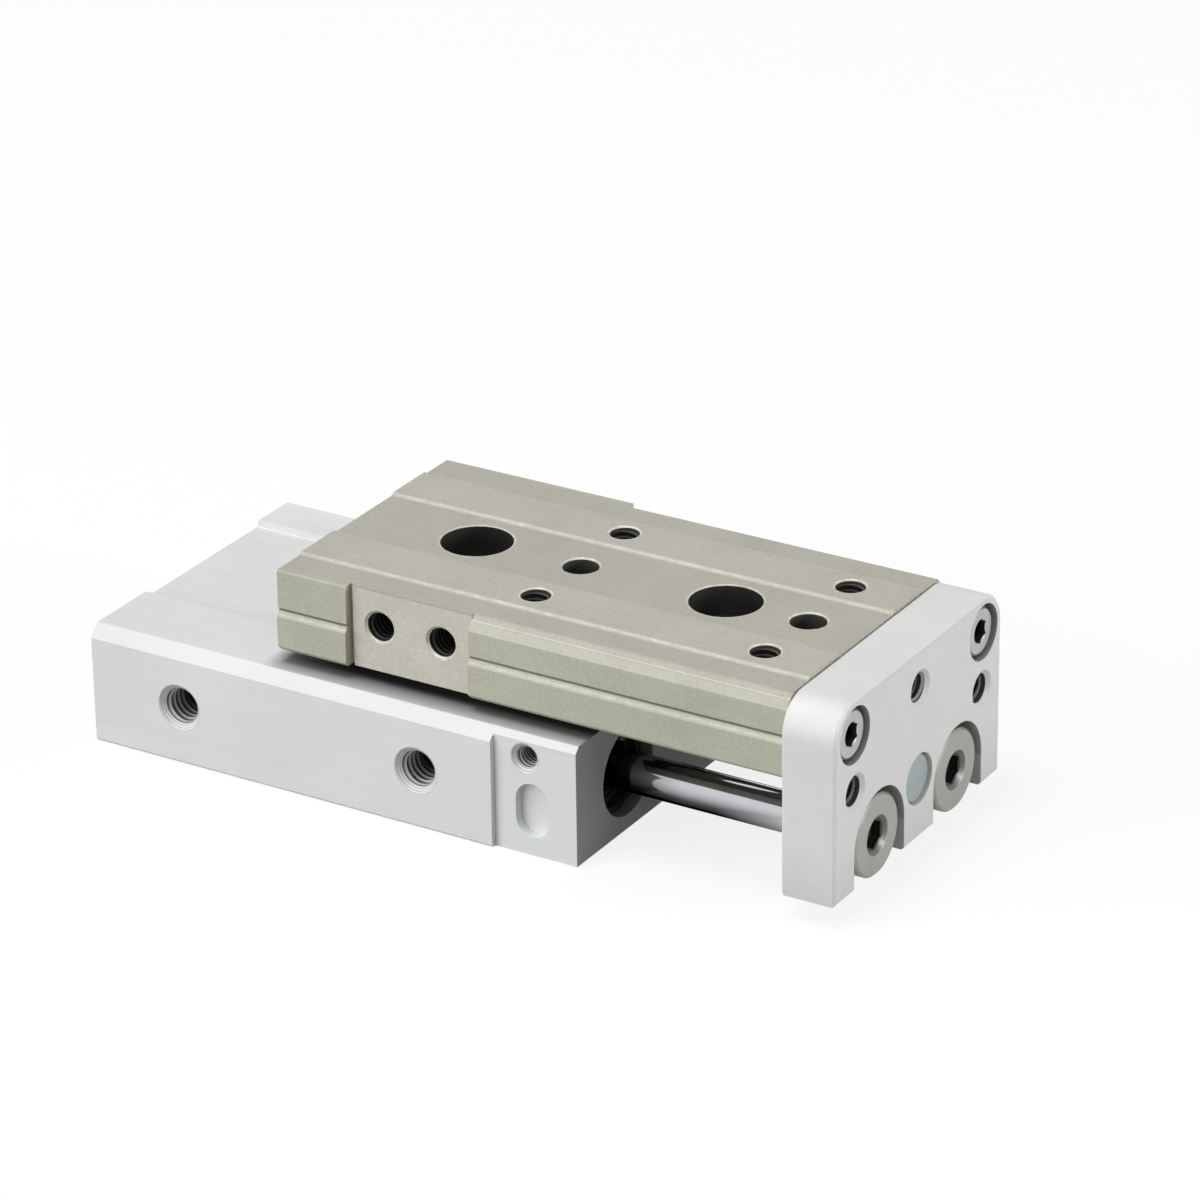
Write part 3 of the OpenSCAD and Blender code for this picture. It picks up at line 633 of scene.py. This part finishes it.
def turned_steel(name, colour, off_axis, height, bores=(), ring=0.12 * MM):
    """Satin turned face: fine grooves in circles about axes along X, which stand
    at Y = +off_axis and -off_axis at this height. Along the radius the groove
    is a sine wave that repeats every `ring`."""
    material, n, shader = start_material(name)
    point = n.object_point()
    _, y, z = n.split(point)
    across = n.math("SUBTRACT", n.math("ABSOLUTE", y), off_axis)
    upward = n.math("SUBTRACT", z, height)
    squares = n.math("ADD", n.product(across, across), n.product(upward, upward))
    radius = n.math("SQRT", squares)
    wave = n.math("SINE", n.math("MULTIPLY", radius, 2 * math.pi / ring))
    groove = n.math("ADD", n.math("MULTIPLY", wave, 0.35), 0.5)
    speck = n.noise(point, scale=1500)
    smear = n.noise(point, scale=320)
    tint = n.mottle(n.weighted((groove, 0.25), (speck, 0.4), (smear, 0.35)), 0.3, 0.75,
                    colour, dark=0.86, light=1.08)
    if bores:
        tint = n.dim(tint, bore_light(n, point, bores))
    n.put(shader.inputs["Base Color"], tint)
    shader.inputs["Metallic"].default_value = 0.6
    n.put(shader.inputs["Roughness"], n.ramp(speck, *MIDDLE_NOISE, 0.36, 0.5))
    n.put(shader.inputs["Normal"], n.bump(groove, distance=5e-6, strength=0.5))
    return material


def machined_steel(name, colour, metallic=0.85, roughness=0.34, bores=()):
    """Small steel parts: close machining marks and a little dull oxide."""
    material, n, shader = start_material(name)
    point = n.object_point()
    marks = n.noise(point, scale=3600)
    dull = n.noise(point, scale=420)
    tint = n.mottle(dull, *MIDDLE_NOISE, colour, dark=0.86, light=1.04)
    if bores:
        tint = n.dim(tint, bore_light(n, point, bores))
    n.put(shader.inputs["Base Color"], tint)
    shader.inputs["Metallic"].default_value = metallic
    n.put(shader.inputs["Roughness"],
          n.ramp(marks, *MIDDLE_NOISE, roughness - 0.06, roughness + 0.1))
    n.put(shader.inputs["Normal"], n.bump(marks, distance=4e-6, strength=0.5))
    return material


def moulded_resin(name, colour, roughness=0.5):
    """Glass-filled moulded resin: dull, with a fine spark-eroded skin."""
    material, n, shader = start_material(name)
    point = n.object_point()
    skin = n.noise(point, scale=3000, detail=3.0, roughness=0.6)
    flow = n.noise(point, scale=240, detail=2.0)
    n.put(shader.inputs["Base Color"],
          n.mottle(flow, *MIDDLE_NOISE, colour, dark=0.8, light=1.25))
    n.put(shader.inputs["Roughness"],
          n.ramp(skin, *MIDDLE_NOISE, roughness - 0.08, roughness + 0.1))
    n.put(shader.inputs["Normal"], n.bump(skin, distance=8e-6, strength=0.5))
    return material


def elastomer(name, colour, roughness=0.62):
    """Rubber or urethane: soft bloom over a fine matt skin."""
    material, n, shader = start_material(name)
    point = n.object_point()
    bloom = n.noise(point, scale=700, detail=4.0)
    skin = n.noise(point, scale=4200, detail=2.0)
    n.put(shader.inputs["Base Color"],
          n.mottle(bloom, 0.35, 0.7, colour, dark=0.85, light=1.3))
    n.put(shader.inputs["Roughness"],
          n.ramp(skin, *MIDDLE_NOISE, roughness - 0.1, roughness + 0.1))
    n.put(shader.inputs["Normal"], n.bump(skin, distance=6e-6, strength=0.5))
    return material


# Each material slot's maker, its colour and what else the maker is told
FINISHES = {
    "body_anodised": (blasted_aluminium, (0.70, 0.715, 0.705),
                      dict(bores=body_bores, lines=BAR_LINES, dress=dress_body)),
    "plate_anodised": (blasted_aluminium, (0.69, 0.70, 0.69),
                       dict(bores=plate_bores, lines=PLATE_GRAIN, dress=dress_plate)),
    "table_steel": (ground_steel, (0.43, 0.42, 0.365),
                    dict(bores=table_bores, dress=dress_table)),
    "guide_steel": (ground_steel, (0.50, 0.50, 0.49), {}),
    "ball_steel": (chromed, (0.85, 0.85, 0.86), dict(roughness=0.04)),
    "rod_chrome": (chromed, (0.58, 0.59, 0.61), dict(dark_reflection=True)),
    "bolt_steel": (turned_steel, (0.38, 0.375, 0.35),
                   dict(off_axis=ROD_OFF_AXIS, height=ROD_HEIGHT, bores=bolt_sockets)),
    "screw_steel": (machined_steel, (0.50, 0.50, 0.49), dict(bores=screw_sockets)),
    "screw_black": (machined_steel, (0.05, 0.05, 0.052),
                    dict(metallic=0.6, roughness=0.42)),
    "clip_steel": (machined_steel, (0.09, 0.09, 0.095), dict(metallic=0.7, roughness=0.4)),
    "piston_alloy": (turned_steel, (0.62, 0.63, 0.64),
                     dict(off_axis=ROD_OFF_AXIS, height=ROD_HEIGHT)),
    "stud_grey": (turned_steel, (0.36, 0.41, 0.41),
                  dict(off_axis=0.0, height=STUD_HEIGHT, ring=0.25 * MM)),
    "cover_resin": (moulded_resin, (0.016, 0.016, 0.018), {}),
    "guide_resin": (moulded_resin, (0.024, 0.024, 0.026), {}),
    "seal_rubber": (elastomer, (0.012, 0.012, 0.012), {}),
    "bumper_urethane": (elastomer, (0.03, 0.06, 0.10), dict(roughness=0.45)),
    "magnet_dark": (machined_steel, (0.07, 0.07, 0.08), dict(metallic=0.4, roughness=0.5)),
}
finishes = {slot: maker(slot, colour, **settings)
            for slot, (maker, colour, settings) in FINISHES.items()}

for part in record["subparts"]:
    cad_object = frame["nodes"][part["node"]]
    cad_object.data.materials.clear()
    cad_object.data.materials.append(finishes[part["material_slot"]])


# ---------------------------------------------------------------- threads

RIDGE_STEPS = 40            # segments in one turn of a thread
RIDGE_ROOT = 2e-5           # the ridge's foot is this far into the wall
RIDGE_HEIGHT = 0.32         # of the pitch
RIDGE_SECTION = (-0.42, -0.07, 0.07, 0.42)  # the wedge's corners along the hole, of the pitch
RIDGE_START = 0.35          # of a pitch, from the mouth
RIDGE_CLEAR = 0.7           # of a turn, left free at the two ends together
RIDGE_END = 0.03            # share of the section left at the very ends


def thread_ridge(mouth, inward, radius, pitch, length):
    """Points and faces of the ridge of a thread in a hole of this radius.

    Along the turn angle t the ridge's middle is at depth pitch * t / 2 pi. Its
    section is a low wedge that stands on the wall, RIDGE_HEIGHT of the pitch
    high, and its height fades in and out over the first and last half turn.
    """
    turns = length / pitch - RIDGE_CLEAR
    t = np.linspace(0, 2 * math.pi * turns, int(turns * RIDGE_STEPS))
    fade = np.clip(np.minimum(t, t[-1] - t) / math.pi, RIDGE_END, 1.0)
    depth = pitch * (RIDGE_START + t / (2 * math.pi))
    crest = radius - RIDGE_HEIGHT * pitch * fade
    root = radius + RIDGE_ROOT + 0 * t
    section_r = np.stack([root, crest, crest, root])
    section_d = depth + np.outer(RIDGE_SECTION, pitch * fade)
    side = inward.orthogonal().normalized()
    other = inward.cross(side)
    ring = np.cos(t)[:, None] * np.array(side) + np.sin(t)[:, None] * np.array(other)
    points = (np.array(mouth) + section_r[:, :, None] * ring[None]
              + section_d[:, :, None] * np.array(inward)).reshape(-1, 3)
    count = len(t)
    k = np.arange(count - 1)
    faces = []
    corners = len(RIDGE_SECTION)
    for row in range(corners):
        a, b = row * count + k, (row + 1) % corners * count + k
        faces.append(np.stack([a, a + 1, b + 1, b], 1))
    start = np.arange(corners) * count
    caps = np.array([start, start[::-1] + count - 1])
    return points, np.vstack(faces + [caps])


def add_thread(name, body, slot_name, mouth, inward, radius, pitch, length):
    """A thread's ridge as its own piece on the wall of a tapped hole, riding on a
    body, with a record slot's finish."""
    points, faces = thread_ridge(mouth, inward, radius, pitch, length)
    mesh = bpy.data.meshes.new(name)
    mesh.from_pydata(points.tolist(), [], faces.tolist())
    mesh.validate()
    mesh.polygons.foreach_set("use_smooth", np.full(len(mesh.polygons), True))
    piece = bpy.data.objects.new(name, mesh)
    bpy.context.scene.collection.objects.link(piece)
    mesh.materials.append(finishes[slot_name])
    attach(piece, body)


def add_single_thread(mount_name, body, slot_name, pitch):
    """The thread of a threaded_hole mount, over the whole of its wall."""
    mouth, inward, radius, length = single_hole(mount_name)
    add_thread(mount_name + "_ridge", body, slot_name, mouth, inward, radius,
               pitch * MM, length)


def add_pattern_threads(mount_name, body, slot_name, pitch, sink, length):
    """The threads of a bolt_pattern mount, which start below its countersinks."""
    mount = mounts[mount_name]
    inward = -Vector(mount["axis"])
    for index, hole in enumerate(holes_of(mount)):
        add_thread(f"{mount_name}_ridge_{index}", body, slot_name,
                   hole + inward * sink * MM, inward,
                   mount["dims"]["hole_r_mm"] * MM, pitch * MM, length * MM)


# ---------------------------------------------------------------- stage

FLOOR_SIZE = 4.0
FLOOR_STEPS = 9
FLOOR_WHITE = 0.93          # the floor's own colour, to the camera and in reflections
FLOOR_BOUNCE = 0.22         # and as matt surfaces see it
FLOOR_GLOW = 0.84           # share of the floor that is plain white to the camera
FLOOR_GLOW_METAL = 0.3      # the same, in reflections
AMBIENT = 0.3               # the surroundings, as seen by matt surfaces
LAMP_AIM = (0.015, 0, 0.012)


def seen_rays(n):
    """1 for camera, glossy and transmission rays, else 0, and the camera's alone."""
    path = n.add("ShaderNodeLightPath")
    seen = n.math("ADD", path.outputs["Is Camera Ray"], path.outputs["Is Glossy Ray"],
                  clamp=True)
    seen = n.math("ADD", seen, path.outputs["Is Transmission Ray"], clamp=True)
    return seen, path.outputs["Is Camera Ray"]


def floor_white():
    """A pale ground that is partly plain white to the camera and in reflections,
    so the shadow stays on it."""
    material = bpy.data.materials.new("floor_white")
    material.use_nodes = True
    material.node_tree.nodes.clear()
    n = Nodes(material.node_tree)
    seen, camera = seen_rays(n)
    grey = n.blend(seen, rgba((FLOOR_BOUNCE,) * 3), rgba((FLOOR_WHITE,) * 3))
    paper = n.add("ShaderNodeBsdfDiffuse", {"Color": grey}).outputs[0]
    glow = n.add("ShaderNodeEmission", {"Color": (1, 1, 1, 1), "Strength": 1.0}).outputs[0]
    share = n.weighted((seen, FLOOR_GLOW_METAL), (camera, FLOOR_GLOW - FLOOR_GLOW_METAL))
    mixed = n.add("ShaderNodeMixShader", {0: share, 1: paper, 2: glow}).outputs[0]
    n.add("ShaderNodeOutputMaterial", {"Surface": mixed})
    return material


def add_floor():
    """A flat square floor about the frame's origin, as a grid of x and y at z = 0."""
    steps = np.linspace(-FLOOR_SIZE / 2, FLOOR_SIZE / 2, FLOOR_STEPS)
    x, y = np.meshgrid(steps, steps, indexing="ij")
    points = np.stack([x.ravel(), y.ravel(), np.zeros(x.size)], 1)
    at = np.arange(x.size).reshape(x.shape)
    faces = np.stack([at[:-1, :-1], at[1:, :-1], at[1:, 1:], at[:-1, 1:]], -1)
    mesh = bpy.data.meshes.new("floor")
    mesh.from_pydata(points.tolist(), [], faces.reshape(-1, 4).tolist())
    floor = bpy.data.objects.new("floor", mesh)
    bpy.context.scene.collection.objects.link(floor)
    mesh.materials.append(floor_white())


def add_world():
    """Pale surroundings: white to the camera and in reflections, softer on matt faces."""
    world = bpy.data.worlds.new("studio")
    world.use_nodes = True
    bpy.context.scene.world = world
    world.node_tree.nodes.clear()
    n = Nodes(world.node_tree)
    strength = n.ramp(seen_rays(n)[0], 0, 1, AMBIENT, 1.0)
    sky = n.add("ShaderNodeBackground", {"Color": (1, 1, 1, 1), "Strength": strength})
    n.add("ShaderNodeOutputWorld", {"Surface": sky.outputs[0]})


def add_lamp(name, place, size, power, mirrored=True):
    """A square soft lamp at this place, turned to the object's middle. Polished
    metal shows only the lamps that are mirrored."""
    data = bpy.data.lights.new(name, "AREA")
    data.shape = "SQUARE"
    data.size = size
    data.energy = power
    lamp = bpy.data.objects.new(name, data)
    bpy.context.scene.collection.objects.link(lamp)
    lamp.visible_glossy = mirrored
    lamp.location = place
    way = Vector(LAMP_AIM) - Vector(place)
    lamp.rotation_euler = way.to_track_quat("-Z", "Y").to_euler()


# ---------------------------------------------------------------- the scene

add_single_thread("port_rear", "body", "body_anodised", pitch=0.8)
add_single_thread("port_front", "body", "body_anodised", pitch=0.8)
add_single_thread("stop_thread", "body", "body_anodised", pitch=0.5)
add_single_thread("plate_top_thread", "table", "plate_anodised", pitch=0.7)
for mount_name, body, slot_name, pitch, sink, length in (
        ("base_threads", "body", "body_anodised", 0.5, 0.3, 5.0),
        ("table_threads", "table", "table_steel", 0.7, 0.0, 3.5),
        ("side_threads", "table", "table_steel", 0.7, 0.3, 4.1),
        ("plate_threads", "table", "plate_anodised", 0.7, 0.45, 4.4)):
    add_pattern_threads(mount_name, body, slot_name, pitch, sink, length)

add_camera()
bpy.context.scene.view_settings.view_transform = "Standard"
add_floor()
add_world()
add_lamp("overhead", (-0.1, -0.3, 1.2), size=0.5, power=7.2)
add_lamp("front", (-0.8, -1.2, 0.35), size=1.4, power=24.0, mirrored=False)
add_lamp("fill", (1.0, 0.15, 0.22), size=0.3, power=5.5)
